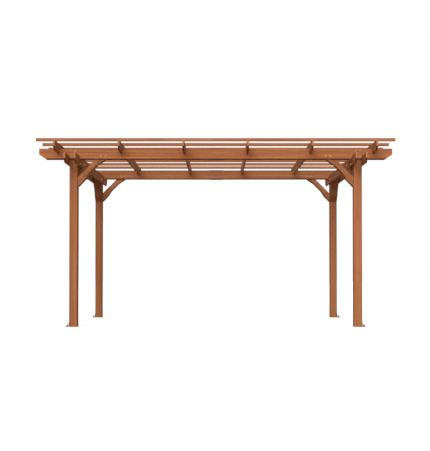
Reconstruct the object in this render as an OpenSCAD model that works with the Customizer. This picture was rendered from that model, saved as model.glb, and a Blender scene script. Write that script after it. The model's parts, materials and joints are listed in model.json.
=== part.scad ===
// Wooden pergola: four posts, paired header planks and side beams, rafters, purlins and curved gussets.
// Millimetres. X runs along the headers, Y from front to back, Z up. The origin is on the floor, mid plan.

/* [Overall] */
// length of the headers and purlins from tail to tail
roof_x = 4267; // [4100:1:4600]
// length of the rafters and side beams from tail to tail
roof_y = 3048; // [2900:1:3400]
// height of the headers' underside above the floor
header_z = 2032; // [1900:1:2300]

/* [Posts] */
// width of a square post
post_w = 100; // [80:1:130]
// radius of the eased edges of a post
post_ease = 7; // [3:0.5:12]
// distance of a post's centre from the headers' tails
post_in_x = 413.5; // [390:0.5:450]
// distance of a post's centre from the side beams' tails
post_in_y = 358; // [320:0.5:400]

/* [Boards] */
// height of a header plank
header_h = 121; // [105:1:135]
// height of a side beam or rafter
board_h = 115; // [100:1:130]
// thickness of a header plank or side beam
board_t = 22; // [16:0.5:30]
// length of the sloping cut under a board's tail
tail_len = 74; // [40:1:110]
// height of the sloping cut under a board's tail
tail_rise = 50; // [30:1:70]
// gap at the butt joint between the two halves of a board
butt_gap = 1; // [0.5:0.5:3]
// side clearance of a notch
notch_slack = 0.5; // [0.2:0.1:2]
// height by which side beams and headers overlap
side_lap = 38; // [16:1:48]

/* [Rafters] */
// thickness of a rafter
rafter_t = 24; // [18:0.5:32]
// distance of the outer rafters' centres from the headers' tails
rafter_in = 228.5; // [200:0.5:260]
// height by which rafters and headers overlap
rafter_lap = 52; // [20:1:64]

/* [Purlins] */
// width and height of a purlin
purlin_w = 35; // [28:0.5:45]
// radius of the eased upper edges of a purlin
purlin_ease = 3; // [1:0.5:6]
// distance of the outer purlins' centres from the rafters' tails
purlin_in = 101.6; // [60:0.1:140]

/* [Gussets] */
// height of the sloping upper edge on the post, measured down from the headers' underside
gusset_drop = 220; // [180:1:300]
// width of a gusset across its slope
gusset_w = 83; // [70:1:100]
// depth of the hollow in the lower edge
gusset_hollow = 21; // [10:1:30]
// length of the straight waist in the middle of the hollow
gusset_waist = 110; // [60:1:140]
// length of the curved shoulder at each end of the hollow
gusset_shoulder = 135; // [100:1:150]
// height of a header gusset's upper end above the headers' underside
gusset_top = 60; // [40:1:63]

/* [Splice plates] */
// length of a splice plate along its boards
plate_len = 190; // [120:1:260]
// thickness of a splice plate
plate_t = 3; // [2:0.5:5]

/* [Post brackets] */
// length of a bracket's foot leg on the floor
foot_leg = 55; // [45:1:80]
// height of a bracket's upright leg on the post
upright_leg = 57; // [45:1:80]
// width of a bracket
bracket_w = 70; // [50:1:90]
// thickness of a bracket
bracket_t = 4; // [3:0.5:6]
// inner radius of a bracket's bend
bend_r = 4; // [2:0.5:6]
// diameter of the anchor hole in the foot leg
anchor_d = 12; // [8:0.5:16]
// distance of the anchor hole from the post's face
anchor_out = 27; // [22:0.5:36]

/* [Hidden] */
$fn = 96;
post_x = roof_x / 2 - post_in_x;
post_y = roof_y / 2 - post_in_y;
header_top = header_z + header_h;
side_z = header_z + side_lap - board_h;
rafter_z = header_top - rafter_lap;
rafter_top = rafter_z + board_h;
plank_mid = (post_w + board_t) / 2;
last_rafter = 5;
last_purlin = 7;
gusset_mid = (gusset_drop + gusset_top) / sqrt(2);
shoulder_steps = 12;
bend_out = bend_r + bracket_t;

// Place i of last + 1 even places along a length, the outer ones a margin in from its ends.
function place(i, last, length, margin) = (2 * i / last - 1) * (length / 2 - margin);
function rafter_x(i) = place(i, last_rafter, roof_x, rafter_in);
function purlin_y(i) = place(i, last_purlin, roof_y, purlin_in);

// Point of a gusset: along its slope from the upper edge's foot, and down across it from that edge.
function on_gusset(along, down) = [(along + down) / sqrt(2), (along - down) / sqrt(2) - gusset_drop];
// Point of the shoulder on the side s of the waist; share runs from the waist to the shoulder's end.
function shoulder(s, share) = on_gusset(
    gusset_mid + s * (gusset_waist / 2 + share * gusset_shoulder),
    gusset_w - gusset_hollow * (1 + cos(180 * share)) / 2);

// Outline of a post, with eased edges.
module post_section() {
    flat = post_w - 2 * post_ease;
    square([post_w, flat], center = true);
    square([flat, post_w], center = true);
    for (sx = [-1, 1], sy = [-1, 1])
        translate([sx * flat / 2, sy * flat / 2])
            circle(post_ease);
}

// A post on the floor; sx and sy choose the corner.
module post(sx, sy) {
    color("peru")
        translate([sx * post_x, sy * post_y, 0])
            linear_extrude(header_top)
                post_section();
}

// Side outline of half a board of this height, from the butt joint to its tail; len is the whole board.
module half_outline(len, high) {
    polygon([
        [butt_gap / 2, 0],
        [len / 2 - tail_len, 0],
        [len / 2, tail_rise],
        [len / 2, high],
        [butt_gap / 2, high]
    ]);
}

// Notch in a half board's outline: centred at x, as wide as the board that crosses it.
module notch(x, thick, z, depth) {
    wide = thick + 2 * notch_slack;
    translate([x - wide / 2, z])
        square([wide, depth]);
}

// Half a header plank, standing on the X axis.
module header_half() {
    rotate([90, 0, 0])
        linear_extrude(board_t, center = true)
            difference() {
                half_outline(roof_x, header_h);
                for (i = [0 : last_rafter])
                    notch(rafter_x(i), rafter_t, header_h - rafter_lap / 2, rafter_lap / 2);
                for (s = [-1, 1])
                    notch(post_x + s * plank_mid, board_t, 0, side_lap / 2);
            }
}

// A header plank in two halves; sy chooses the header, so = 1 its outer plank and -1 its inner one.
module header(sy, so) {
    color("sienna")
        translate([0, sy * (post_y + so * plank_mid), header_z]) {
            header_half();
            mirror([1, 0, 0])
                header_half();
        }
}

// Half a side beam, standing on the Y axis.
module side_half() {
    rotate([90, 0, 90])
        linear_extrude(board_t, center = true)
            difference() {
                half_outline(roof_y, board_h);
                for (s = [-1, 1])
                    notch(post_y + s * plank_mid, board_t, board_h - side_lap / 2, side_lap / 2);
            }
}

// A side beam in two halves; sx chooses the side, so = 1 its outer beam and -1 its inner one.
module side(sx, so) {
    color("sienna")
        translate([sx * (post_x + so * plank_mid), 0, side_z]) {
            side_half();
            mirror([0, 1, 0])
                side_half();
        }
}

// Half a rafter, standing on the Y axis.
module rafter_half() {
    rotate([90, 0, 90])
        linear_extrude(rafter_t, center = true)
            difference() {
                half_outline(roof_y, board_h);
                for (s = [-1, 1])
                    notch(post_y + s * plank_mid, board_t, 0, rafter_lap / 2);
            }
}

// A rafter in two halves; i counts from the left.
module rafter(i) {
    color("chocolate")
        translate([rafter_x(i), 0, rafter_z]) {
            rafter_half();
            mirror([0, 1, 0])
                rafter_half();
        }
}

// Outline of a purlin, with eased upper edges.
module purlin_section() {
    flat = purlin_w - 2 * purlin_ease;
    translate([-purlin_w / 2, 0])
        square([purlin_w, purlin_w - purlin_ease]);
    translate([-flat / 2, 0])
        square([flat, purlin_w]);
    for (s = [-1, 1])
        translate([s * flat / 2, purlin_w - purlin_ease])
            circle(purlin_ease);
}

// A purlin on the rafters; i counts from the front.
module purlin(i) {
    color("burlywood")
        translate([0, purlin_y(i), rafter_top])
            rotate([90, 0, 90])
                linear_extrude(roof_x, center = true)
                    purlin_section();
}

// Outline of a gusset: out from the post's face, and up from the headers' underside to its upper end.
module gusset_outline(top) {
    far = (gusset_drop + top) * sqrt(2);
    polygon([
        on_gusset(0, 0),
        on_gusset(-gusset_w, gusset_w),
        for (i = [shoulder_steps : -1 : 0]) shoulder(-1, i / shoulder_steps),
        for (i = [0 : shoulder_steps]) shoulder(1, i / shoulder_steps),
        on_gusset(far + gusset_w, gusset_w),
        on_gusset(far, 0)
    ]);
}

// A gusset on a post's inner face, between the planks of a header.
module gusset_header(sx, sy) {
    color("sandybrown")
        translate([sx * (post_x - post_w / 2), sy * post_y, header_z])
            mirror([sx > 0 ? 1 : 0, 0, 0])
                rotate([90, 0, 0])
                    linear_extrude(post_w, center = true)
                        gusset_outline(gusset_top);
}

// A gusset on a post's inner face, between the two side beams.
module gusset_side(sx, sy) {
    color("sandybrown")
        translate([sx * post_x, sy * (post_y - post_w / 2), header_z])
            mirror([0, sy > 0 ? 1 : 0, 0])
                rotate([90, 0, 90])
                    linear_extrude(post_w, center = true)
                        gusset_outline(side_lap);
}

// Plates over and under the butt joint of a board that stands at z; size_x and size_y lie level.
module plates(size_x, size_y, z, high) {
    for (p = [z - plate_t, z + high])
        translate([-size_x / 2, -size_y / 2, p])
            cube([size_x, size_y, plate_t]);
}

// Splice plates of the two planks of a header.
module plates_header(sy) {
    color("dimgray")
        for (so = [-1, 1])
            translate([0, sy * post_y + so * plank_mid, 0])
                plates(plate_len, board_t, header_z, header_h);
}

// Splice plates of a pair of side beams.
module plates_side(sx) {
    color("dimgray")
        for (so = [-1, 1])
            translate([sx * post_x + so * plank_mid, 0, 0])
                plates(board_t, plate_len, side_z, board_h);
}

// Splice plates of all the rafters.
module plates_rafters() {
    color("dimgray")
        for (i = [0 : last_rafter])
            translate([rafter_x(i), 0, 0])
                plates(rafter_t, plate_len, rafter_z, board_h);
}

// Outline of a bent bracket: foot leg along the first axis, upright leg along the second.
module bracket_outline() {
    difference() {
        union() {
            square([foot_leg, bracket_t]);
            square([bracket_t, upright_leg]);
            square([bend_out, bend_out]);
        }
        translate([bend_out, bend_out])
            circle(bend_r);
        difference() {
            square([bend_out, bend_out]);
            translate([bend_out, bend_out])
                circle(bend_out);
        }
    }
}

// A bracket on a post's outer face, with an anchor hole through its foot leg.
module bracket(sx, sy) {
    color("silver")
        translate([sx * (post_x + post_w / 2), sy * post_y, 0])
            mirror([sx < 0 ? 1 : 0, 0, 0])
                difference() {
                    rotate([90, 0, 0])
                        linear_extrude(bracket_w, center = true)
                            bracket_outline();
                    translate([anchor_out, 0, -bracket_t])
                        cylinder(d = anchor_d, h = 3 * bracket_t);
                }
}

post(-1, -1);  // post_front_left
post(1, -1);  // post_front_right
post(-1, 1);  // post_back_left
post(1, 1);  // post_back_right
header(-1, 1);  // header_front_outer
header(-1, -1);  // header_front_inner
header(1, -1);  // header_back_inner
header(1, 1);  // header_back_outer
side(-1, 1);  // side_left_outer
side(-1, -1);  // side_left_inner
side(1, -1);  // side_right_inner
side(1, 1);  // side_right_outer
rafter(0);  // rafter_1
rafter(1);  // rafter_2
rafter(2);  // rafter_3
rafter(3);  // rafter_4
rafter(4);  // rafter_5
rafter(5);  // rafter_6
purlin(0);  // purlin_1
purlin(1);  // purlin_2
purlin(2);  // purlin_3
purlin(3);  // purlin_4
purlin(4);  // purlin_5
purlin(5);  // purlin_6
purlin(6);  // purlin_7
purlin(7);  // purlin_8
gusset_header(-1, -1);  // gusset_header_front_left
gusset_header(1, -1);  // gusset_header_front_right
gusset_header(-1, 1);  // gusset_header_back_left
gusset_header(1, 1);  // gusset_header_back_right
gusset_side(-1, -1);  // gusset_side_front_left
gusset_side(1, -1);  // gusset_side_front_right
gusset_side(-1, 1);  // gusset_side_back_left
gusset_side(1, 1);  // gusset_side_back_right
plates_header(-1);  // plates_header_front
plates_header(1);  // plates_header_back
plates_side(-1);  // plates_side_left
plates_side(1);  // plates_side_right
plates_rafters();
bracket(-1, -1);  // bracket_front_left
bracket(1, -1);  // bracket_front_right
bracket(-1, 1);  // bracket_back_left
bracket(1, 1);  // bracket_back_right
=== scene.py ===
# %% [markdown]
# # A stained cedar pergola
# The pergola is an open frame that people sit under: four posts, pairs of planks that clasp the
# posts, rafters notched over the planks, and square purlins on top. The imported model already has
# every member at its real size and place, so this lesson only dresses it: eased arrises, grain,
# steel, bolts and light. The frame is loaded first, because everything below takes its place from
# the members themselves.

import json
import math
import random

import bmesh
import bpy
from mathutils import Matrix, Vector


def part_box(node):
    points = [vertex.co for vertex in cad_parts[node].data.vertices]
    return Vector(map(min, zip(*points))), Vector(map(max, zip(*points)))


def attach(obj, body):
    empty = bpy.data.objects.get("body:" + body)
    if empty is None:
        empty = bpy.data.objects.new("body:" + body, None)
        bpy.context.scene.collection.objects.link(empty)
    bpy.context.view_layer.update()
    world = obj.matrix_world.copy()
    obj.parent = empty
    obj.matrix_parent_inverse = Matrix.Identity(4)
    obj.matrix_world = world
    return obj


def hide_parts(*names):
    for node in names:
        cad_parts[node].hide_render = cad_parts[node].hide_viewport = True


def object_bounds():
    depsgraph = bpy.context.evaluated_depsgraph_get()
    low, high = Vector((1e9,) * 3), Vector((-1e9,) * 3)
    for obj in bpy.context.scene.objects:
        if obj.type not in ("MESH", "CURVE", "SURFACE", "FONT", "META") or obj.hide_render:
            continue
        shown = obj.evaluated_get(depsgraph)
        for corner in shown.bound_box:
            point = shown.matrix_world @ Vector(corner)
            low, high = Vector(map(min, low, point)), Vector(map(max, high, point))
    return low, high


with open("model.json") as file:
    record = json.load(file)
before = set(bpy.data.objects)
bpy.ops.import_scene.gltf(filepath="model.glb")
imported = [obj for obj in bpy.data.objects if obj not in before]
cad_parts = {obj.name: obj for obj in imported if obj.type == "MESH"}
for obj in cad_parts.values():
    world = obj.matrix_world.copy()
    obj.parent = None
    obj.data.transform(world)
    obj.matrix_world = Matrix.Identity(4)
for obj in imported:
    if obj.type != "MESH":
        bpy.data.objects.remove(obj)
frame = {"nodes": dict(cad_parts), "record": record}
nodes = frame["nodes"]
cad_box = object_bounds()
MM = 0.001
overall = [round((high - low) / MM) for low, high in zip(*cad_box)]
print("loaded", len(nodes), "members, overall", overall, "mm")

# %% [markdown]
# ## Colours
# Stain charts and colour pickers give a colour as an sRGB hex value, which is spaced for the eye.
# Shaders reckon in linear light. Colours could be typed in as linear numbers, but a hex value can
# be held against a chart, so one function turns the first into the second.

# %% A hex colour in linear light
def linear(hex_colour):
    """An sRGB hex colour as linear RGBA."""
    rgb = [int(hex_colour[i:i + 2], 16) / 255 for i in (1, 3, 5)]
    return (*[c / 12.92 if c <= 0.04045 else ((c + 0.055) / 1.055) ** 2.4 for c in rgb], 1.0)


print("white is", linear("#FFFFFF"), "and mid grey is", [round(c, 3) for c in linear("#808080")])

# %% [markdown]
# ## Nodes, finishes and objects
# A node tree could be drawn by hand in the editor. Built in the script it can be read and
# repeated, and one small function that adds a node, sets it and links it keeps each tree a short
# list of steps. Every finish on the pergola ends in the same shader, and every new object has to
# be linked to the scene, so both of these starts are written once too.

# %% The starts that the steps share
MIX_A, MIX_B, MIX_OUT = 6, 7, 2   # a Mix node's sockets when it mixes colours


def add(tree, kind, inputs=None, **settings):
    """Adds a node with its settings; an input is a plain value or the socket that feeds it."""
    node = tree.nodes.new(kind)
    for name, value in settings.items():
        setattr(node, name, value)
    for name, value in (inputs or {}).items():
        if isinstance(value, bpy.types.NodeSocket):
            tree.links.new(value, node.inputs[name])
        else:
            node.inputs[name].default_value = value
    return node


def new_finish(name):
    """An empty material, its tree, and the inputs of the shader that every finish here ends in."""
    material = bpy.data.materials.new(name)
    material.use_nodes = True
    tree = material.node_tree
    tree.nodes.clear()
    shader = add(tree, "ShaderNodeBsdfPrincipled")
    add(tree, "ShaderNodeOutputMaterial", {"Surface": shader.outputs[0]})
    return material, tree, shader.inputs


def in_scene(name, data):
    """A new object with this data, at the origin, linked to the scene."""
    thing = bpy.data.objects.new(name, data)
    bpy.context.scene.collection.objects.link(thing)
    return thing


print("the Mix node's sockets are as in Blender", bpy.app.version_string)

# %% [markdown]
# ## How cedar is figured: branches
# A plank is cut from a round trunk. A flat picture of grain would stop at each edge, so instead
# each plank carries its own place in the trunk, the attribute "grain": metres along the trunk, and
# metres across it from the heart. A branch leaves a knot in the planks that are sawn through it.
# Knots could be set one by one, but a Voronoi pattern scatters branches along the trunk, one in
# each cell, and deals each a colour. The colour serves as a draw of numbers: most branches miss
# the plank, and the rest leave knots of different sizes.

# %% The nearest branch
KNOT_CELL = (0.85, 0.17, 1.0)   # about one branch in this length and width of plank, in metres
NO_KNOT = 0.8                   # the share of branches that miss the plank
SMALLEST_KNOT = 0.35            # of the largest one's size


def nearest_branch(tree, place):
    """The distance to the nearest branch, as if of full size, and 1 where it left a knot."""
    part = add(tree, "ShaderNodeSeparateXYZ", {0: place}).outputs
    lane = add(tree, "ShaderNodeMath", {0: part["Y"], 1: part["Z"]}, operation="ADD").outputs[0]
    flat = add(tree, "ShaderNodeCombineXYZ", {"X": part["X"], "Y": lane}).outputs[0]
    cell = add(tree, "ShaderNodeVectorMath", {0: flat, 1: KNOT_CELL}, operation="DIVIDE").outputs[0]
    branch = add(tree, "ShaderNodeTexVoronoi", {"Vector": cell, "Scale": 1.0},
                 voronoi_dimensions="2D").outputs
    off = add(tree, "ShaderNodeVectorMath", {0: cell, 1: branch["Position"]},
              operation="SUBTRACT").outputs[0]
    off = add(tree, "ShaderNodeVectorMath", {0: off, 1: KNOT_CELL}, operation="MULTIPLY").outputs[0]
    away = add(tree, "ShaderNodeVectorMath", {0: off}, operation="LENGTH").outputs["Value"]
    draw = add(tree, "ShaderNodeSeparateColor", {0: branch["Color"]}).outputs
    has_knot = add(tree, "ShaderNodeMath", {0: draw[0], 1: NO_KNOT},
                   operation="GREATER_THAN").outputs[0]
    size = add(tree, "ShaderNodeMapRange", {"Value": draw[1], "To Min": SMALLEST_KNOT}).outputs[0]
    distance = add(tree, "ShaderNodeMath", {0: away, 1: size}, operation="DIVIDE").outputs[0]
    return distance, has_knot


print("a branch in each", KNOT_CELL[0], "m of plank, a knot in", round(1 - NO_KNOT, 2), "of them")

# %% [markdown]
# ## How cedar is figured: growth rings
# Each year's ring goes from pale early wood to a dark line of late wood, and the saw shows the
# rings as lines on the faces and as arcs on the ends. A wave texture could draw them, but evenly.
# Here the distance from the heart strays a little, as in a grown trunk, and swells round each
# knot. A ramp over each ring's width then says how dark the wood is.

# %% Growth rings
RING = 6.5 * MM         # real rings are 2 to 4 mm apart; coarser, so that they show across a garden
SWAY = 14 * MM          # how far a trunk's rings stray from true circles
SWAY_CELL = (0.9, 0.11, 0.11)
KNOT_REACH = 46 * MM    # the rings bend round a knot this far out
KNOT_PUSH = 17 * MM     # and by this much at its middle
ACROSS = (0, 1, 1)      # leaves out the way along the trunk
LATE_WOOD = ((0.0, 0.0), (0.55, 0.25), (0.88, 1.0), (1.0, 0.0))   # share of a ring, and how dark


def growth_rings(tree, place, distance, has_knot):
    """From 0 in early wood to 1 in the late wood that ends each ring."""
    swell = add(tree, "ShaderNodeMapRange", {"Value": distance, "From Min": KNOT_REACH,
                                             "From Max": 0.0, "To Max": KNOT_PUSH},
                interpolation_type="SMOOTHSTEP").outputs[0]
    swell = add(tree, "ShaderNodeMath", {0: swell, 1: has_knot}, operation="MULTIPLY").outputs[0]
    at = add(tree, "ShaderNodeVectorMath", {0: place, 1: SWAY_CELL}, operation="DIVIDE").outputs[0]
    sway = add(tree, "ShaderNodeTexNoise", {"Vector": at, "Scale": 1.0, "Detail": 2.0}).outputs[0]
    across = add(tree, "ShaderNodeVectorMath", {0: place, 1: ACROSS}, operation="MULTIPLY").outputs[0]
    radius = add(tree, "ShaderNodeVectorMath", {0: across}, operation="LENGTH").outputs["Value"]
    radius = add(tree, "ShaderNodeMath", {0: sway, 1: SWAY, 2: radius},
                 operation="MULTIPLY_ADD").outputs[0]
    radius = add(tree, "ShaderNodeMath", {0: radius, 1: swell}, operation="ADD").outputs[0]
    turn = add(tree, "ShaderNodeMath", {0: radius, 1: RING}, operation="DIVIDE").outputs[0]
    turn = add(tree, "ShaderNodeMath", {0: turn}, operation="FRACT").outputs[0]
    late = add(tree, "ShaderNodeValToRGB", {0: turn})
    stops = late.color_ramp.elements
    for share, _ in LATE_WOOD[1:-1]:
        stops.new(share)
    for stop, (share, dark) in zip(stops, LATE_WOOD):
        stop.color = (dark, dark, dark, 1)
    return late.outputs[0]


print("rings", round(RING / MM, 1), "mm apart bend round knots from", round(KNOT_REACH / MM), "mm out")

# %% [markdown]
# ## Stain
# The planks are wiped with a warm brown stain. It sinks deeper into some bands of the wood than
# into others, and late wood, coarse fibres and knots come out darker. The rounded arrises, where
# cut fibres lie open, drink more of it, and their colour is also darkened as painted shade, since a
# round turns away from the light; so they stay darkest. A single brown would make every plank
# flat, so the stain is a base colour that each of these moves in turn.

# %% Stain on the figure
STAIN = ((0.3, "#985F3B"), (0.5, "#AF734D"), (0.7, "#C0855B"))   # from dark bands to pale ones
FIBRE_SHOWS = (0.5, 0.8)        # where in the fibre pattern they begin to show, and show fully
BAND_SPAN = (0.35, 0.65)        # where in the band pattern the arrises go from dark to paler
# the arrises darken partly by stain that soaks in and partly as painted shade
SOAK_AND_SHADE = (0.7, 0.4)               # how far the arrises darken, in dark bands and in pale ones
LATE_SHARE, FIBRE_SHARE, KNOT_SHARE = 0.34, 0.4, 0.6   # how far each of these darkens it


def stained(tree, late, streak, fibre, knot):
    """The colour of stained cedar, before the board's own tone."""
    bands = add(tree, "ShaderNodeValToRGB", {0: streak})
    stops = bands.color_ramp.elements
    stops.new(STAIN[1][0])
    for stop, (share, hex_colour) in zip(stops, STAIN):
        stop.position = share
        stop.color = linear(hex_colour)
    coarse = add(tree, "ShaderNodeMapRange", {"Value": fibre, "From Min": FIBRE_SHOWS[0],
                                              "From Max": FIBRE_SHOWS[1]}).outputs[0]
    arris = add(tree, "ShaderNodeAttribute", attribute_name="arris").outputs["Fac"]
    soak_and_shade = add(tree, "ShaderNodeMapRange", {"Value": streak, "From Min": BAND_SPAN[0],
                                            "From Max": BAND_SPAN[1], "To Min": SOAK_AND_SHADE[0],
                                            "To Max": SOAK_AND_SHADE[1]}).outputs[0]
    colour = bands.outputs[0]
    # the last of these darkens the arrises: partly stain that soaks in, partly painted shade on rounds
    # that turn from the light
    for where, share, dark in ((late, LATE_SHARE, "#7C4526"), (coarse, FIBRE_SHARE, "#84492A"),
                               (knot, KNOT_SHARE, "#5B301A"), (arris, soak_and_shade, "#683A20")):
        weight = add(tree, "ShaderNodeMath", {0: where, 1: share}, operation="MULTIPLY").outputs[0]
        colour = add(tree, "ShaderNodeMix", {0: weight, MIX_A: colour, MIX_B: linear(dark)},
                     data_type="RGBA").outputs[MIX_OUT]
    return colour


print("stain from", STAIN[0][1], "in dark bands to", STAIN[-1][1], "in pale ones")

# %% [markdown]
# ## Planed faces
# The planks are western red cedar, planed smooth. Planing leaves the late wood a little proud. A
# stain that soaks in leaves no film, so the wood is nearly matt, with a faint sheen that breaks up
# along the grain: gloss and relief both follow the fibres. Every plank's own tone is an attribute
# rather than a material of its own, because no two boards take a stain alike; on a few planks this
# tone also holds painted light and shade.

# %% Material: cedar, planed and stained
STREAK_CELL = (1.6, 0.021, 0.021)         # bands that take up more or less stain, 21 mm wide
FIBRE_CELL = (0.11, 2.2 * MM, 2.2 * MM)   # real fibres are far finer; coarse enough to show
STREAK_DETAIL, FIBRE_DETAIL = 4.0, 3.0    # finer layers laid over each
KNOT_RADIUS = 9 * MM
KNOT_CORE = 0.6 * KNOT_RADIUS             # a knot is fully dark up to here
LATE_PROUD = 0.5                          # against the relief of the fibres
PLANED_ROUGH = (0.62, 0.86)
CEDAR_IOR = 1.47
STAIN_SHEEN = 0.08                        # open fibres scatter most of the shine of a smooth film


def planed_cedar():
    """Red cedar planed and stained: nearly matt, with colour and gloss that follow the grain."""
    material, tree, shader = new_finish("cedar_planed_stained")
    place = add(tree, "ShaderNodeAttribute", attribute_name="grain").outputs["Vector"]
    distance, has_knot = nearest_branch(tree, place)
    late = growth_rings(tree, place, distance, has_knot)
    core = add(tree, "ShaderNodeMapRange", {"Value": distance, "From Min": KNOT_RADIUS,
                                            "From Max": KNOT_CORE},
               interpolation_type="SMOOTHSTEP").outputs[0]
    knot = add(tree, "ShaderNodeMath", {0: core, 1: has_knot}, operation="MULTIPLY").outputs[0]
    noises = []
    for cell, detail in ((STREAK_CELL, STREAK_DETAIL), (FIBRE_CELL, FIBRE_DETAIL)):
        at = add(tree, "ShaderNodeVectorMath", {0: place, 1: cell}, operation="DIVIDE").outputs[0]
        noise = add(tree, "ShaderNodeTexNoise", {"Vector": at, "Scale": 1.0, "Detail": detail})
        noises.append(noise.outputs[0])
    streak, fibre = noises
    tone = add(tree, "ShaderNodeAttribute", attribute_name="tone").outputs["Fac"]
    colour = add(tree, "ShaderNodeVectorMath", {0: stained(tree, late, streak, fibre, knot),
                                                "Scale": tone}, operation="SCALE").outputs[0]
    tree.links.new(colour, shader["Base Color"])
    rough = add(tree, "ShaderNodeMapRange", {"Value": fibre, "To Min": PLANED_ROUGH[0],
                                             "To Max": PLANED_ROUGH[1]}).outputs[0]
    tree.links.new(rough, shader["Roughness"])
    relief = add(tree, "ShaderNodeMath", {0: late, 1: LATE_PROUD, 2: fibre},
                 operation="MULTIPLY_ADD").outputs[0]
    bump = add(tree, "ShaderNodeBump", {"Height": relief, "Strength": 0.35, "Distance": 0.8 * MM})
    tree.links.new(bump.outputs[0], shader["Normal"])
    shader["IOR"].default_value = CEDAR_IOR
    shader["Specular IOR Level"].default_value = STAIN_SHEEN
    return material


CEDAR = planed_cedar()
print("made", CEDAR.name, "with", len(CEDAR.node_tree.nodes), "nodes")

# %% [markdown]
# ## Sawn ends
# Where a saw cuts across the fibres the end is rough and open. On this pergola the ends are paler
# than the faces: they face the light, and the saw took off the old surface. An end could be a
# plain pale brown, but the same trunk figure runs on into it, so the rings are used again, now
# stronger, with pores and a few drying cracks that run out from the heart.

# %% Material: cedar, sawn across the grain
PORE = 1.6 * MM                 # real pores are finer than can show
PORE_SHOWS = (0.52, 0.75)       # where in the pore pattern they begin to show, and show fully
CRACKS = 9.0                    # drying cracks in a full turn about the heart
CRACK_OPENS = (0.655, 0.69)     # where in the crack pattern the wood parts, and is fully open
SAWN_LATE, SAWN_PORE, SAWN_CRACK = 0.62, 0.45, 0.8   # how far each darkens the end
SAWN_PROUD = 0.6                # late wood, against the relief of the pores
SAWN_ROUGH = 0.88


def sawn_cedar():
    """Red cedar sawn across the fibres: matt, paler, with ring arcs, pores and drying cracks."""
    material, tree, shader = new_finish("cedar_sawn_end_grain")
    place = add(tree, "ShaderNodeAttribute", attribute_name="grain").outputs["Vector"]
    late = growth_rings(tree, place, *nearest_branch(tree, place))
    pores = add(tree, "ShaderNodeTexNoise", {"Vector": place, "Scale": 1 / PORE,
                                             "Detail": 2.0}).outputs[0]
    pore = add(tree, "ShaderNodeMapRange", {"Value": pores, "From Min": PORE_SHOWS[0],
                                            "From Max": PORE_SHOWS[1]}).outputs[0]
    part = add(tree, "ShaderNodeSeparateXYZ", {0: place}).outputs
    round_heart = add(tree, "ShaderNodeMath", {0: part["Z"], 1: part["Y"]},
                      operation="ARCTAN2").outputs[0]
    crack = add(tree, "ShaderNodeTexNoise", {"W": round_heart, "Scale": CRACKS, "Detail": 3.0},
                noise_dimensions="1D").outputs[0]
    crack = add(tree, "ShaderNodeMapRange", {"Value": crack, "From Min": CRACK_OPENS[0],
                                             "From Max": CRACK_OPENS[1]}).outputs[0]
    colour = linear("#CB9067")
    for where, share, dark in ((late, SAWN_LATE, "#95603D"), (pore, SAWN_PORE, "#8A5434"),
                               (crack, SAWN_CRACK, "#4E2C1A")):
        weight = add(tree, "ShaderNodeMath", {0: where, 1: share}, operation="MULTIPLY").outputs[0]
        colour = add(tree, "ShaderNodeMix", {0: weight, MIX_A: colour, MIX_B: linear(dark)},
                     data_type="RGBA").outputs[MIX_OUT]
    tone = add(tree, "ShaderNodeAttribute", attribute_name="tone").outputs["Fac"]
    colour = add(tree, "ShaderNodeVectorMath", {0: colour, "Scale": tone}, operation="SCALE").outputs[0]
    tree.links.new(colour, shader["Base Color"])
    relief = add(tree, "ShaderNodeMath", {0: late, 1: SAWN_PROUD, 2: pores},
                 operation="MULTIPLY_ADD").outputs[0]
    relief = add(tree, "ShaderNodeMath", {0: relief, 1: crack}, operation="SUBTRACT").outputs[0]
    bump = add(tree, "ShaderNodeBump", {"Height": relief, "Strength": 0.5, "Distance": 1.0 * MM})
    tree.links.new(bump.outputs[0], shader["Normal"])
    shader["Roughness"].default_value = SAWN_ROUGH
    shader["IOR"].default_value = CEDAR_IOR
    shader["Specular IOR Level"].default_value = STAIN_SHEEN
    return material


SAWN = sawn_cedar()
print("made", SAWN.name, "with", len(SAWN.node_tree.nodes), "nodes")

# %% [markdown]
# ## Easing the arrises
# A planer leaves an edge sharp enough to splinter, so a maker eases it with a small round. It
# could be faked in the shader, but then the outline would stay razor sharp, so it is real geometry
# here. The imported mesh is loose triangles: a copy is welded, its flat faces are made whole again,
# and only then are the outward edges rounded. The two lengths of a long board are drawn up tight
# and left sharp where they meet, so that no daylight shows between them.

# %% A welded copy with eased arrises
WELD = 0.02 * MM
FLAT = math.radians(0.4)    # faces that turn less than this are one face
ARRIS = math.radians(35)    # an outward edge that turns more than this is eased
BUTT = 2 * MM               # the two lengths of a board end this close to the frame's middle
TIGHT = 0.1 * MM            # and are drawn up to here


def eased_copy(name, ease, butt_axis=None):
    """A welded bmesh of one member: its outward edges rounded and marked, any butt joint closed."""
    source = nodes[name].data
    plain = bpy.data.meshes.new(name)
    plain.from_pydata([v.co for v in source.vertices], [], [p.vertices[:] for p in source.polygons])
    bm = bmesh.new()
    bm.from_mesh(plain)
    bpy.data.meshes.remove(plain)
    bmesh.ops.remove_doubles(bm, verts=bm.verts, dist=WELD)
    bmesh.ops.dissolve_limit(bm, angle_limit=FLAT, verts=bm.verts, edges=bm.edges)
    arris = bm.faces.layers.float.new("arris")
    at_butt = {v for v in bm.verts if butt_axis is not None and abs(v.co[butt_axis]) < BUTT}
    for v in at_butt:
        v.co[butt_axis] = math.copysign(TIGHT, v.co[butt_axis])
    arrises = [e for e in bm.edges if e.is_manifold and e.is_convex and e.calc_face_angle() > ARRIS
               and not at_butt.issuperset(e.verts)]
    rounds = bmesh.ops.bevel(bm, geom=arrises, offset=ease, segments=2, profile=0.5,
                             affect="EDGES", clamp_overlap=True)
    for face in rounds["faces"]:
        face[arris] = 1.0
    return bm


print("arrises are outward edges over", round(math.degrees(ARRIS)), "degrees")

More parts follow.
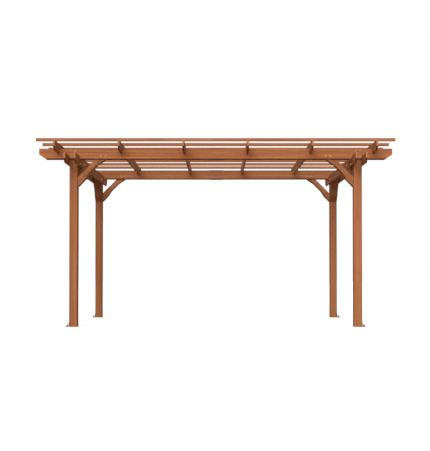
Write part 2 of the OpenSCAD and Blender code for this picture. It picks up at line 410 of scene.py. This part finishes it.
# %% [markdown]
# ## A finished piece
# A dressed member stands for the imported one, which stays hidden below it. Its rounds are shaded
# smooth, and only true corners stay sharp. Plain smooth shading would make the flat faces look
# pillowed, so the flat faces are given the weight when normals are averaged.

# %% From welded copy to finished piece
SMOOTH = math.radians(42)   # edges that turn more than this stay sharp


def finished_piece(bm, piece_name, materials, slot, replaced):
    """Makes the piece that stands for a member, on the one body of the frame."""
    mesh = bpy.data.meshes.new(piece_name)
    bm.to_mesh(mesh)
    bm.free()
    for material in materials:
        mesh.materials.append(material)
    mesh.shade_smooth()
    mesh.set_sharp_from_angle(angle=SMOOTH)
    piece = in_scene(piece_name, mesh)
    weighted = piece.modifiers.new("flat_faces_stay_flat", "WEIGHTED_NORMAL")
    weighted.keep_sharp = True
    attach(piece, "root")
    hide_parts(replaced)
    return piece


print("edges over", round(math.degrees(SMOOTH)), "degrees stay sharp")

# %% [markdown]
# ## How each timber was sawn
# Every member runs along one axis of its own: posts stand, headers and purlins run from side to
# side, side beams and rafters from front to back. A gusset's grain follows its slope, as a maker
# would cut it so that the brace can't split. The grain could be read off each shape by its longest
# side, but a table by kind is plainer, and it also says how far from the heart each was sawn.

# %% The grain of each kind
X, Y, Z = Vector((1, 0, 0)), Vector((0, 1, 0)), Vector((0, 0, 1))
TIMBER = {   # kind: along the grain, through the thickness, ease, and distance off the heart
    "post": (Z, Y, 2.0 * MM, 12 * MM),
    "header": (X, Y, 2.5 * MM, 60 * MM),
    "side": (Y, X, 2.5 * MM, 60 * MM),
    "rafter": (Y, X, 2.5 * MM, 55 * MM),
    "purlin": (X, Y, 1.2 * MM, 70 * MM),
    "gusset": (Z, Y, 3.0 * MM, 75 * MM),
}
BOARD_AXIS = {"header": 0, "side": 1, "rafter": 1}   # boards of two lengths run along X, 0, or Y, 1


def gusset_grain(name):
    """A gusset rises at 45 degrees from its post, towards the middle of the frame."""
    low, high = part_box(name)
    inwards = -((low + high) / 2)
    run = X if name.startswith("gusset_header") else Y
    through = Y if run is X else X
    return (run * math.copysign(1, inwards.dot(run)) + Z).normalized(), through


timber_names = [name for name in sorted(nodes) if name.split("_")[0] in TIMBER]
print(len(timber_names), "timbers of", len(TIMBER), "kinds")

# %% [markdown]
# ## The timber
# Each member is dealt its own place in a trunk and its own tone by a seeded deck of random
# numbers, and so the pergola is the same each time. A few boards are named. The posts' values are
# their own tones, but the back left post is also darkened as painted shade from the roof, and the
# outer front header plank is brightened as painted light, to make up for the shade that the purlins
# and rafter tails above it cast on its face. A long board is sawn in two to fit a carton, and the
# lengths are put end to end again over a plate, so its figure runs on through the joint.

# %% Dress the timber
END_CUT = 0.5        # a face turned this much along the grain was cut across it
ROUNDED = 0.99       # a post's face that isn't square to the frame is on a rounded corner
TRUNK = 40           # metres of trunk to deal from
ASIDE = 0.5          # the heart lies up to this far aside, as a share of its distance
NEARER, FARTHER = 0.7, 1.3   # shares of the kind's own distance off the heart
TONE_SPREAD = 0.05
# header_front_outer is painted light, brightened to make up for the shade that the purlins and rafter
# tails cast on it; post_back_left is partly painted shade from the roof
TONES_AND_PAINTED_LIGHT = {"post_front_left": 1.03, "post_front_right": 1.09, "post_back_left": 0.88,
         "post_back_right": 1.02, "header_front_outer": 1.34}
DECK_SEED = 17       # a deal in which the rings fall much as on the real boards
dice = random.Random(DECK_SEED)


def dress_timber(name):
    """One wooden member with eased arrises, its place in a trunk, and sawn ends."""
    kind = name.split("_")[0]
    along, through, ease, off_heart = TIMBER[kind]
    if kind == "gusset":
        along, through = gusset_grain(name)
    across = through.cross(along)
    bm = eased_copy(name, ease, BOARD_AXIS.get(kind))
    grain = bm.verts.layers.float_vector.new("grain")
    tone = bm.verts.layers.float.new("tone")
    arris = bm.faces.layers.float["arris"]
    low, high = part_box(name)
    heart = Vector((dice.uniform(0, TRUNK), dice.uniform(-ASIDE, ASIDE) * off_heart,
                    dice.choice((-1, 1)) * dice.uniform(NEARER, FARTHER) * off_heart))
    shade = TONES_AND_PAINTED_LIGHT.get(name, 1.0) * (1 + dice.uniform(-TONE_SPREAD, TONE_SPREAD))
    for v in bm.verts:
        p = v.co - (low + high) / 2
        v[grain] = Vector((p.dot(along), p.dot(across), p.dot(through))) + heart
        v[tone] = shade
    bm.normal_update()
    for face in bm.faces:
        face.material_index = 1 if abs(face.normal.dot(along)) > END_CUT else 0
        # a post's rounded corners are darkened like the arrises: partly stain that soaks in, partly
        # painted shade
        if kind == "post" and max(abs(c) for c in face.normal) < ROUNDED:
            face[arris] = 1.0
    return finished_piece(bm, name + "_timber", (CEDAR, SAWN), "stained_cedar", name)


timber = [dress_timber(name) for name in timber_names]
print("dressed", len(timber), "timbers,", sum(len(p.data.polygons) for p in timber), "faces")

# %% [markdown]
# ## Painted plate
# The butt joints are held by thin plates of mild steel, painted dark. Paint is a dull skin that
# chips on the edges and shows bare steel. One flat dark colour would look like a slot in the
# timber, so the paint is uneven and its eased edges are worn. The pattern lies in the object's own
# coordinates, since sheet steel has no grain to follow.

# %% Material: mild steel, painted dark
CHIP = 9 * MM               # the size of chips, and of duller spots in the paint
CHIPPED = (0.48, 0.56)      # where in the pattern the paint on an edge thins, and is gone
PAINT_ROUGH = (0.66, 0.84)
PAINT_SHEEN = 0.25


def painted_plate():
    """Mild steel under dark matt paint: a dull skin, chipped to grey metal on its edges."""
    material, tree, shader = new_finish("mild_steel_painted_dark")
    place = add(tree, "ShaderNodeTexCoord").outputs["Object"]
    noise = add(tree, "ShaderNodeTexNoise", {"Vector": place, "Scale": 1 / CHIP,
                                             "Detail": 4.0}).outputs[0]
    arris = add(tree, "ShaderNodeAttribute", attribute_name="arris").outputs["Fac"]
    chip = add(tree, "ShaderNodeMapRange", {"Value": noise, "From Min": CHIPPED[0],
                                            "From Max": CHIPPED[1]}).outputs[0]
    chip = add(tree, "ShaderNodeMath", {0: arris, 1: chip}, operation="MULTIPLY").outputs[0]
    skin = add(tree, "ShaderNodeMix", {0: noise, MIX_A: linear("#3A2E29"), MIX_B: linear("#584A43")},
               data_type="RGBA").outputs[MIX_OUT]
    colour = add(tree, "ShaderNodeMix", {0: chip, MIX_A: skin, MIX_B: linear("#837D79")},
                 data_type="RGBA").outputs[MIX_OUT]
    tree.links.new(colour, shader["Base Color"])
    tree.links.new(chip, shader["Metallic"])
    rough = add(tree, "ShaderNodeMapRange", {"Value": noise, "To Min": PAINT_ROUGH[0],
                                             "To Max": PAINT_ROUGH[1]}).outputs[0]
    tree.links.new(rough, shader["Roughness"])
    bump = add(tree, "ShaderNodeBump", {"Height": noise, "Strength": 0.2, "Distance": 0.3 * MM})
    tree.links.new(bump.outputs[0], shader["Normal"])
    shader["Specular IOR Level"].default_value = PAINT_SHEEN
    return material


PAINTED = painted_plate()
print("made", PAINTED.name, "with", len(PAINTED.node_tree.nodes), "nodes")

# %% [markdown]
# ## Zinc plate
# Each post stands beside an angle of zinc-plated steel, and the fasteners are plated too. Zinc
# plate starts bright and dulls outdoors to grey, in faint patches over the mill's brush marks,
# while a yellow dip keeps the bolts paler and warmer. A grey paint would have the colour but not
# the soft glint, so this is a metal, and one function makes both kinds.

# %% Materials: zinc-plated steel, grey and yellow
PATCH = 13 * MM                              # patches that dulled more or less
BRUSH_CELL = (0.6 * MM, 0.6 * MM, 40 * MM)   # mill marks; real ones are finer than can show
MARK_ROUGH = (-0.1, 0.12)                    # what the marks take from the roughness and add to it


def zinc_plate(name, bright, dark, rough):
    """Zinc-plated steel dulled outdoors: metal in faint patches, with fine mill marks in its gloss."""
    material, tree, shader = new_finish(name)
    place = add(tree, "ShaderNodeTexCoord").outputs["Object"]
    patch = add(tree, "ShaderNodeTexVoronoi", {"Vector": place, "Scale": 1 / PATCH}).outputs["Color"]
    share = add(tree, "ShaderNodeSeparateColor", {0: patch}).outputs[0]
    colour = add(tree, "ShaderNodeMix", {0: share, MIX_A: linear(bright), MIX_B: linear(dark)},
                 data_type="RGBA").outputs[MIX_OUT]
    tree.links.new(colour, shader["Base Color"])
    at = add(tree, "ShaderNodeVectorMath", {0: place, 1: BRUSH_CELL}, operation="DIVIDE").outputs[0]
    marks = add(tree, "ShaderNodeTexNoise", {"Vector": at, "Scale": 1.0, "Detail": 2.0}).outputs[0]
    dulled = add(tree, "ShaderNodeMapRange", {"Value": marks, "To Min": rough + MARK_ROUGH[0],
                                              "To Max": rough + MARK_ROUGH[1]}).outputs[0]
    tree.links.new(dulled, shader["Roughness"])
    bump = add(tree, "ShaderNodeBump", {"Height": marks, "Strength": 0.12, "Distance": 0.1 * MM})
    tree.links.new(bump.outputs[0], shader["Normal"])
    shader["Metallic"].default_value = 1.0
    return material


ZINC = zinc_plate("mild_steel_zinc_plated_dulled", "#66696D", "#4C4F53", rough=0.5)
BOLT_ZINC = zinc_plate("bolt_steel_yellow_zinc_plated", "#B98D6C", "#9A7052", rough=0.55)
print("made", ZINC.name, "and", BOLT_ZINC.name)

# %% [markdown]
# ## Plates and angles
# Sheet steel is sheared and bent, which leaves a much finer edge than a planer does on wood. It is
# eased in the same way as the timber, only less, so that its edges still catch a thin light.

# %% Dress the plates and angles
STEEL = {   # kind: ease, finish and slot
    "plates": (0.6 * MM, PAINTED, "dark_plate_steel"),
    "bracket": (0.8 * MM, ZINC, "zinc_bracket_steel"),
}
steel_names = [name for name in sorted(nodes) if name.split("_")[0] in STEEL]
for name in steel_names:
    ease, finish, slot = STEEL[name.split("_")[0]]
    finished_piece(eased_copy(name, ease), name + "_steel", (finish,), slot, name)
print("dressed", len(steel_names), "steel members")

# %% [markdown]
# ## Fasteners: a turned shape
# Nearly three hundred bolts, nuts and screws hold the frame. They could be modelled by hand and
# copied, but Geometry Nodes keep their sizes as named inputs. Each kind is a pile of closed turned
# shapes: a polygon is lifted and scaled step by step, as a lathe hand would turn a head.

# %% A turned shape
HEX, ROUND, THREAD, PAN = 6, 20, 10, 12          # how many sides each has
PLAIN = ((0.8, 1.0), (0.2, 0.94))                # lift as a share of the height, scale of the top
CHAMFERED = ((0.82, 1.0), (0.18, 0.86))
DRIVEN = ((0.5, 1.0), (0.35, 0.84), (0.15, 0.6), (0.0, 0.62), (-0.6, 0.8))   # with a drive recess
SEAM = 0.001 * MM                                # points closer than this are one


def turned(tree, sides, radius, height, steps, base):
    """A closed solid: a polygon lifted and scaled step by step, standing on base."""
    disc = add(tree, "GeometryNodeMeshCircle", {"Vertices": sides, "Radius": radius},
               fill_type="NGON").outputs[0]
    body, top = disc, True
    for lift, scale in steps:
        rise = add(tree, "ShaderNodeMath", {0: height, 1: lift}, operation="MULTIPLY").outputs[0]
        grown = add(tree, "GeometryNodeExtrudeMesh", {"Mesh": body, "Selection": top,
                                                      "Offset Scale": rise})
        top = grown.outputs["Top"]
        body = add(tree, "GeometryNodeScaleElements", {"Geometry": grown.outputs["Mesh"],
                                                       "Selection": top, "Scale": scale}).outputs[0]
    under = add(tree, "GeometryNodeFlipFaces", {"Mesh": disc}).outputs[0]
    both = add(tree, "GeometryNodeJoinGeometry")
    for part in (body, under):
        tree.links.new(part, both.inputs[0])
    closed = add(tree, "GeometryNodeMergeByDistance", {"Geometry": both.outputs[0],
                                                       "Distance": SEAM}).outputs[0]
    lifted = add(tree, "ShaderNodeCombineXYZ", {"Z": base}).outputs[0]
    return add(tree, "GeometryNodeTransform", {"Geometry": closed, "Translation": lifted}).outputs[0]


print("a pan head is turned in", len(DRIVEN), "steps, a bolt's head in", len(CHAMFERED))

# %% [markdown]
# ## Fasteners: one tree for each kind
# One tree makes the pile, sets it on every point of a small mesh and turns it to the point's own
# "out" direction, with a random twist, since no two bolts stop at the same angle. A shape in the
# pile may stand on others, as a locknut does on its nut and washer. The instances are then made
# real, because only plain meshes leave Blender.

# %% A tree that sets one kind of fastener on points
LEAST, MOST, DEALT = 2, 3, 1   # a Random Value node's sockets when it deals plain numbers


def fastener_tree(name, shapes):
    """shapes: (label, sides, steps, *labels of the shapes under it). The tree and its inputs' ids."""
    tree = bpy.data.node_groups.new(name, "GeometryNodeTree")
    sockets = {"Geometry": "NodeSocketGeometry"}
    for shape in shapes:
        sockets[shape[0] + " radius"] = "NodeSocketFloat"
        sockets[shape[0] + " height"] = "NodeSocketFloat"
    sockets.update({"Seed": "NodeSocketInt", "Finish": "NodeSocketMaterial"})
    ids = {}
    for label, kind in sockets.items():
        ids[label] = tree.interface.new_socket(label, in_out="INPUT", socket_type=kind).identifier
    tree.interface.new_socket("Geometry", in_out="OUTPUT", socket_type="NodeSocketGeometry")
    given = add(tree, "NodeGroupInput").outputs
    pile = add(tree, "GeometryNodeJoinGeometry")
    for label, sides, steps, *under in shapes:
        base = 0.0
        for below in under:
            base = add(tree, "ShaderNodeMath", {0: base, 1: given[below + " height"]},
                       operation="ADD").outputs[0]
        shape = turned(tree, sides, given[label + " radius"], given[label + " height"], steps, base)
        tree.links.new(shape, pile.inputs[0])
    angle = add(tree, "FunctionNodeRandomValue", {LEAST: 0.0, MOST: math.tau, "Seed": given["Seed"]},
                data_type="FLOAT").outputs[DEALT]
    twist = add(tree, "ShaderNodeCombineXYZ", {"Z": angle}).outputs[0]
    twist = add(tree, "FunctionNodeEulerToRotation", {0: twist}).outputs[0]
    out = add(tree, "GeometryNodeInputNamedAttribute", {"Name": "out"},
              data_type="FLOAT_VECTOR").outputs[0]
    aim = add(tree, "FunctionNodeAlignRotationToVector", {"Rotation": twist, "Vector": out},
              axis="Z").outputs[0]
    copies = add(tree, "GeometryNodeInstanceOnPoints", {"Points": given["Geometry"],
                                                        "Instance": pile.outputs[0],
                                                        "Rotation": aim}).outputs[0]
    real = add(tree, "GeometryNodeRealizeInstances", {"Geometry": copies}).outputs[0]
    done = add(tree, "GeometryNodeSetMaterial", {"Geometry": real,
                                                 "Material": given["Finish"]}).outputs[0]
    add(tree, "NodeGroupOutput", {0: done})
    return tree, ids


washer, nut = ("Washer", ROUND, PLAIN), ("Nut", HEX, CHAMFERED, "Washer")
thread = ("Thread", THREAD, CHAMFERED)
BOLT = fastener_tree("bolt_head", (washer, ("Head", HEX, CHAMFERED, "Washer")))
NUT = fastener_tree("nut", (washer, nut, thread))
ANCHOR = fastener_tree("anchor", (washer, nut, ("Locknut", HEX, CHAMFERED, "Washer", "Nut"), thread))
SCREW = fastener_tree("screw", (("Head", PAN, DRIVEN),))
for tree, ids in (BOLT, NUT, ANCHOR, SCREW):
    print("tree", tree.name, "with", len(tree.nodes), "nodes and inputs", ", ".join(ids))

# %% [markdown]
# ## Fasteners: setting them
# The points of a small mesh say where the fasteners go, and the modifier sets them there. It could
# stay live, but only plain meshes leave Blender, so the result is copied out as one, the points and
# the modifier go, and the faces are turned outwards. All fasteners of a kind are then one piece.

# %% Set a fastener on each place
FASTENER_SMOOTH = math.radians(30)   # edges that turn more than this stay sharp


def fastener_mesh(piece_name, recipe, sizes, finish, places):
    """The recipe's fastener at each (point, out direction), as one plain mesh."""
    tree, ids = recipe
    points = bpy.data.meshes.new(piece_name + "_points")
    points.from_pydata([point for point, out in places], [], [])
    outs = points.attributes.new("out", "FLOAT_VECTOR", "POINT")
    outs.data.foreach_set("vector", [c for point, out in places for c in out])
    holder = in_scene(piece_name + "_points", points)
    setter = holder.modifiers.new("set_fasteners", "NODES")
    setter.node_group = tree
    for name, size in sizes.items():
        setter[ids[name]] = size
    setter[ids["Seed"]] = len(places)
    setter[ids["Finish"]] = finish
    ready = holder.evaluated_get(bpy.context.evaluated_depsgraph_get())
    mesh = bpy.data.meshes.new_from_object(ready)
    holder.modifiers.remove(setter)
    bpy.data.objects.remove(holder)
    bpy.data.meshes.remove(points)
    bm = bmesh.new()
    bm.from_mesh(mesh)
    bmesh.ops.recalc_face_normals(bm, faces=bm.faces)
    bm.to_mesh(mesh)
    bm.free()
    mesh.name = piece_name
    return mesh


def set_fasteners(piece_name, recipe, sizes, finish, places):
    """Makes the piece of all fasteners of one kind, on the one body of the frame."""
    mesh = fastener_mesh(piece_name, recipe, sizes, finish, places)
    mesh.shade_smooth()
    mesh.set_sharp_from_angle(angle=FASTENER_SMOOTH)
    piece = in_scene(piece_name, mesh)
    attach(piece, "root")
    print("set", len(places), piece_name + ",", len(mesh.polygons), "faces")


print("fasteners' edges over", round(math.degrees(FASTENER_SMOOTH)), "degrees stay sharp")

# %% [markdown]
# ## Where the bolts go
# Two rows of bolts clamp each pair of planks through its post, and two more bolts go through the
# head of each gusset. Their places could be typed in one by one, but they are measured from the
# members that the bolts hold, so a bolt always sits on a face.

# %% The bolts of one plank
BOLT_SPREAD = 27 * MM             # either side of the post's middle
BOLT_EDGE = (22 * MM, 27 * MM)    # from the plank's lower and upper edges
GUSSET_BOLTS = {   # kind: runs from the post's inner face, and rise over the plank's lower edge
    "header": ((283 * MM, 338 * MM), 31 * MM),
    "side": ((225 * MM, 280 * MM), 45 * MM),
}


def bolt_spots(plank, posts):
    """(run, height) of each bolt in one plank, from the posts that it clasps."""
    kind = plank.split("_")[0]
    gusset_runs, gusset_rise = GUSSET_BOLTS[kind]
    low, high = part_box(plank)
    for post in posts:
        ends = [corner[BOARD_AXIS[kind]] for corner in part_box(post)]
        middle, inner = sum(ends) / 2, min(ends, key=abs)
        for side in (-1, 1):
            yield middle + side * BOLT_SPREAD, low.z + BOLT_EDGE[0]
            yield middle + side * BOLT_SPREAD, high.z - BOLT_EDGE[1]
        for run in gusset_runs:
            yield inner - math.copysign(run, inner), low.z + gusset_rise


clasped = {}   # each plank, and the two posts that it clasps
for layer in ("outer", "inner"):
    for end in ("front", "back"):
        clasped[f"header_{end}_{layer}"] = (f"post_{end}_left", f"post_{end}_right")
    for hand in ("left", "right"):
        clasped[f"side_{hand}_{layer}"] = (f"post_front_{hand}", f"post_back_{hand}")
print({plank: len(list(bolt_spots(plank, posts))) for plank, posts in clasped.items()}, "bolts")

# %% [markdown]
# ## Bolt heads and nuts
# Heads show on the outer plank and nuts on the inner one. A bolt's point lies on the plank's own
# side, and "out" points away from it, so the washer lies flat on the wood.

# %% Bolts and nuts through the planks
WASHER = {"Washer radius": 11 * MM, "Washer height": 1.8 * MM}
BOLT_HEAD = {**WASHER, "Head radius": 7.5 * MM, "Head height": 5.3 * MM}
BOLT_NUT = {**WASHER, "Nut radius": 7.5 * MM, "Nut height": 6.8 * MM,
            "Thread radius": 4 * MM, "Thread height": 13 * MM}


def bolt_places(layer):
    """(point, out) of the bolts: on outer planks' far sides, or on inner planks' near sides."""
    pick, way = (max, 1) if layer == "outer" else (min, -1)
    for plank in (name for name in clasped if name.endswith(layer)):
        run_axis = BOARD_AXIS[plank.split("_")[0]]
        face_axis = 1 - run_axis
        face = pick((corner[face_axis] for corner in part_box(plank)), key=abs)
        out = Vector((0, 0, 0))
        out[face_axis] = math.copysign(1, face) * way
        for run, height in bolt_spots(plank, clasped[plank]):
            point = Vector((0, 0, height))
            point[run_axis], point[face_axis] = run, face
            yield point, out


set_fasteners("bolt_heads", BOLT, BOLT_HEAD, BOLT_ZINC,
              list(bolt_places("outer")))
set_fasteners("bolt_nuts", NUT, BOLT_NUT, BOLT_ZINC,
              list(bolt_places("inner")))

# %% [markdown]
# ## Screws on the splice plates
# Pan-head screws hold each splice plate to both lengths of its board, from above and from below.
# They could be drawn as dots of colour, but a raised head catches light as the real one does. They
# lie along the middle of the board's edge, on the plate's own face.

# %% Screws on the splice plates
SCREW_RUN = (26 * MM, 70 * MM)     # from the butt joint, either way
PAN_HEAD = {"Head radius": 5.5 * MM, "Head height": 3.2 * MM}
plate_screws = []


def screw_plates(plates, boards, run_axis):
    """Screws along the middle of each board's edge, over and under its butt joint."""
    plates_low, plates_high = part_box(plates)
    for board in boards:
        low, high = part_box(board)
        for run in (way * run for run in SCREW_RUN for way in (-1, 1)):
            point = (low + high) / 2
            point[run_axis] = run
            for height, out in ((plates_low.z, -Z), (plates_high.z, Z)):
                plate_screws.append((Vector((point.x, point.y, height)), out))


for group in ("header_front", "header_back", "side_left", "side_right"):
    run_axis = BOARD_AXIS[group.split("_")[0]]
    screw_plates("plates_" + group, [group + "_outer", group + "_inner"], run_axis)
rafters = sorted(name for name in nodes if name.startswith("rafter_"))
screw_plates("plates_rafters", rafters, BOARD_AXIS["rafter"])
set_fasteners("plate_screws", SCREW, PAN_HEAD, PAINTED, plate_screws)

# %% [markdown]
# ## Screws in the purlins
# A screw goes down through every purlin into the rafter below, and its head is driven nearly
# flush. Each place is where the middle of a purlin crosses the middle of a rafter, so two loops
# over the members find them all, and no place is typed in.

# %% Screws in the purlins
PURLIN_HEAD = {"Head radius": 5 * MM, "Head height": 1.2 * MM}
purlin_screws = []
for purlin in sorted(name for name in nodes if name.startswith("purlin_")):
    purlin_low, purlin_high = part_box(purlin)
    for rafter in rafters:
        rafter_low, rafter_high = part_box(rafter)
        purlin_screws.append((Vector(((rafter_low.x + rafter_high.x) / 2,
                                      (purlin_low.y + purlin_high.y) / 2, purlin_high.z)), Z))
set_fasteners("purlin_screws", SCREW, PURLIN_HEAD, BOLT_ZINC, purlin_screws)

# %% [markdown]
# ## The angles' fasteners
# Four lag screws with washers hold each angle to its post, and an anchor bolt with a nut and a
# locknut stands in the angle's hole. The hole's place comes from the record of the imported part,
# where it is a mount, so the bolt stands in the hole by itself.

# %% Lag screws and anchor bolts on the angles
LAG_SPREAD = 18 * MM
LAG_ROWS = (22 * MM, 44 * MM)
ANGLE_THICK = 4 * MM
LAG_HEAD = {"Washer radius": 9 * MM, "Washer height": 1.6 * MM,
            "Head radius": 7.5 * MM, "Head height": 5.3 * MM}
ANCHOR_NUTS = {"Washer radius": 15 * MM, "Washer height": 2.5 * MM,
               "Nut radius": 9.8 * MM, "Nut height": 8.4 * MM,
               "Locknut radius": 9.8 * MM, "Locknut height": 8.4 * MM,
               "Thread radius": 5 * MM, "Thread height": 25 * MM}
lags, anchors = [], []
for mount in frame["record"]["mounts"]:
    if mount["name"].startswith("anchor_"):
        x, y = mount["pos_m"][:2]
        low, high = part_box("bracket_" + mount["name"].removeprefix("anchor_"))
        side = math.copysign(1, x)
        face = min((low.x, high.x), key=abs) + side * ANGLE_THICK
        anchors.append((Vector((x, y, ANGLE_THICK)), Z))
        for shift in (-LAG_SPREAD, LAG_SPREAD):
            for height in LAG_ROWS:
                lags.append((Vector((face, y + shift, height)), X * side))
set_fasteners("angle_lag_screws", BOLT, LAG_HEAD, ZINC, lags)
set_fasteners("anchor_bolts", ANCHOR, ANCHOR_NUTS, ZINC, anchors)

# %% [markdown]
# ## Floor
# A catalogue picture shows the pergola on white. A floor that is lit to white would flood the
# undersides with light. Instead the floor is pale and keeps the shadow, and to the eye it glows
# just enough to reach white, while to rays that only carry light it is a plain matt brown floor.

# %% Floor
FLOOR_HALF = 60.0           # metres from the middle to each edge
FLOOR_DROP = 0.4 * MM       # below the feet, so that the two faces don't flicker
FLOOR_BOUNCE = "#624F44"
FLOOR_SEEN = "#E8E8E8"
FLOOR_GLOW = 0.35


def seen_directly(tree):
    """1 for a ray from the eye, also by way of a mirror or glass, and 0 for one that only lights."""
    ray = add(tree, "ShaderNodeLightPath").outputs
    seen = ray["Is Camera Ray"]
    for other in ("Is Glossy Ray", "Is Transmission Ray"):
        seen = add(tree, "ShaderNodeMath", {0: seen, 1: ray[other]}, operation="MAXIMUM").outputs[0]
    return seen


floor_mesh = bpy.data.meshes.new("floor")
corners = [(x * FLOOR_HALF, y * FLOOR_HALF, -FLOOR_DROP)
           for x, y in ((-1, -1), (1, -1), (1, 1), (-1, 1))]
floor_mesh.from_pydata(corners, [], [(0, 1, 2, 3)])
floor = in_scene("floor", floor_mesh)
paint = bpy.data.materials.new("floor_matt_white_paint")
paint.use_nodes = True
tree = paint.node_tree
tree.nodes.clear()
bounce = add(tree, "ShaderNodeBsdfDiffuse", {"Color": linear(FLOOR_BOUNCE)}).outputs[0]
seen = add(tree, "ShaderNodeBsdfDiffuse", {"Color": linear(FLOOR_SEEN)}).outputs[0]
glow = add(tree, "ShaderNodeEmission", {"Strength": FLOOR_GLOW}).outputs[0]
pale = add(tree, "ShaderNodeAddShader", {0: seen, 1: glow}).outputs[0]
both = add(tree, "ShaderNodeMixShader", {0: seen_directly(tree), 1: bounce, 2: pale}).outputs[0]
add(tree, "ShaderNodeOutputMaterial", {"Surface": both})
floor_mesh.materials.append(paint)
print("floor", round(2 * FLOOR_HALF), "m wide")

# %% [markdown]
# ## Sky
# A plain white world would light every underside as strongly as the fronts. So the sky works as
# the floor does: white where it is seen, dimmer and a little warm where it lights, and the shaded
# sides stay brown.

# %% Sky
AMBIENT = 0.4
AMBIENT_TINT = "#FFE2CE"    # a studio's walls send back light that the timber has warmed
world = bpy.data.worlds.new("white_studio")
bpy.context.scene.world = world
world.use_nodes = True
tree = world.node_tree
tree.nodes.clear()
lights = add(tree, "ShaderNodeBackground", {"Color": linear(AMBIENT_TINT),
                                            "Strength": AMBIENT}).outputs[0]
white = add(tree, "ShaderNodeBackground", {"Color": linear("#FFFFFF"), "Strength": 1.0}).outputs[0]
sky = add(tree, "ShaderNodeMixShader", {0: seen_directly(tree), 1: lights, 2: white}).outputs[0]
add(tree, "ShaderNodeOutputWorld", {"Surface": sky})
print("the sky lights at", AMBIENT, "and is seen at 1")

# %% [markdown]
# ## Lamps
# The pergola is lit softly from the front and from above. Area lamps would have to be large and
# near to light all of it evenly, so broad soft suns are used. The one in front, a little to the
# left, is the key: the rafters' tails throw their shadows to the right. A weaker one behind keeps
# the back from going flat.

# %% Lamps
LAMPS = {   # name: azimuth from the front and elevation in degrees, strength, spread in degrees
    "key_front": (-10, 36, 2.95, 50),
    "fill_back": (187, 48, 0.9, 45),
}


def toward(azimuth, elevation):
    """The unit vector from the object to a lamp; azimuth 0 is in front, and turns to the right."""
    a, e = math.radians(azimuth), math.radians(elevation)
    return Vector((math.sin(a) * math.cos(e), -math.cos(a) * math.cos(e), math.sin(e)))


for name, (azimuth, elevation, strength, spread) in LAMPS.items():
    sun = bpy.data.lights.new(name, "SUN")
    sun.energy = strength
    sun.angle = math.radians(spread)
    lamp = in_scene(name, sun)
    lamp.rotation_euler = toward(azimuth, elevation).to_track_quat("Z", "Y").to_euler()
print("lit by", ", ".join(LAMPS))

# %% [markdown]
# ## Camera
# The picture is taken from straight in front, from 12 m away, with the lens as low as a table top
# and tipped up by about a degree. More tilt would frame it too, but then the posts would lean
# together. So the rest of the framing is a shift, as with a view camera. The focal length and the
# shifts are measured in pixels of a picture 451 pixels high, and Blender takes the shifts as shares
# of that longer side.

# %% Camera
PICTURE_LONG = 451
FOCAL_PX = 906.14
CAMERA_AT = (0.0282, -12.1626, 0.6523)
CAMERA_TILT = 1.042                # degrees above level
MIDDLE_OFF_PX = (3.006, 30.851)    # the lens axis lies this far right of and below the middle
SENSOR = 36.0                      # mm
eye = bpy.data.cameras.new("front_camera")
eye.sensor_width = SENSOR
eye.lens = FOCAL_PX / PICTURE_LONG * SENSOR
eye.shift_x = -MIDDLE_OFF_PX[0] / PICTURE_LONG
eye.shift_y = MIDDLE_OFF_PX[1] / PICTURE_LONG
camera = in_scene("front_camera", eye)
camera.location = CAMERA_AT
camera.rotation_euler = (math.radians(90 + CAMERA_TILT), 0, 0)
bpy.context.scene.camera = camera
bpy.context.scene.view_settings.view_transform = "Standard"
print("lens", round(eye.lens, 2), "mm")
